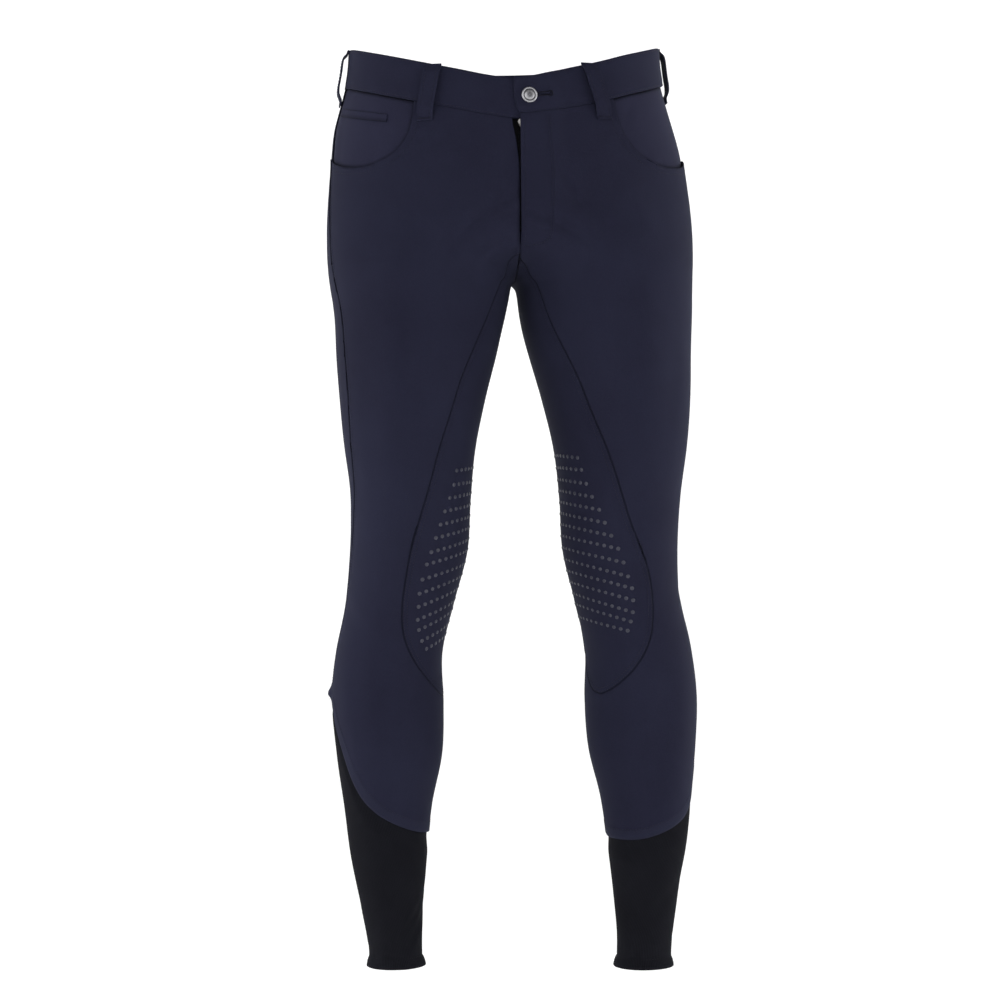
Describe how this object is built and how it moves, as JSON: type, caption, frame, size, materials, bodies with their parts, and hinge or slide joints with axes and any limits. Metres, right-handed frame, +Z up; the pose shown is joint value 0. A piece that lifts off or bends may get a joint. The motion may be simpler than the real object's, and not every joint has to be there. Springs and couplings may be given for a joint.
{
  "type": "riding_breeches",
  "caption": "Men's navy riding breeches in technical stretch cloth, worn form, silicone dot grip on the inner knee, elastic sock cuffs, curved front pockets, belt loops and a metal waist button",
  "frame": {"origin": "middle of the waist, where the breeches are held up, on the middle plane between the two halves", "axes": "+Z up through the waist, -Y towards the front, +X towards the wearer's left"},
  "size_m": [0.404, 0.261, 1.0106],
  "materials": {
    "stretch_cloth": "matte navy technical stretch, fine twill face",
    "sock_knit": "matte near-black elastic knit",
    "zip_tape": "woven navy tape",
    "metal": "polished nickel-plated"
  },
  "bodies": {
    "root": {"front_right": "stretch_cloth", "front_left": "stretch_cloth", "back_right": "stretch_cloth", "back_left": "stretch_cloth", "inner_panel_right": "stretch_cloth", "inner_panel_left": "stretch_cloth", "pocket_facing_right": "stretch_cloth", "pocket_facing_left": "stretch_cloth", "coin_pocket_welt": "stretch_cloth", "waistband_right": "stretch_cloth", "waistband_left": "stretch_cloth", "belt_loop_front_right": "stretch_cloth", "belt_loop_front_left": "stretch_cloth", "belt_loop_side_right": "stretch_cloth", "belt_loop_side_left": "stretch_cloth", "belt_loop_back": "stretch_cloth", "sock_cuff_right": "sock_knit", "sock_cuff_left": "sock_knit", "zip_tape": "zip_tape", "zip_slider": "metal", "waist_button": "metal"}
  },
  "joints": []
}
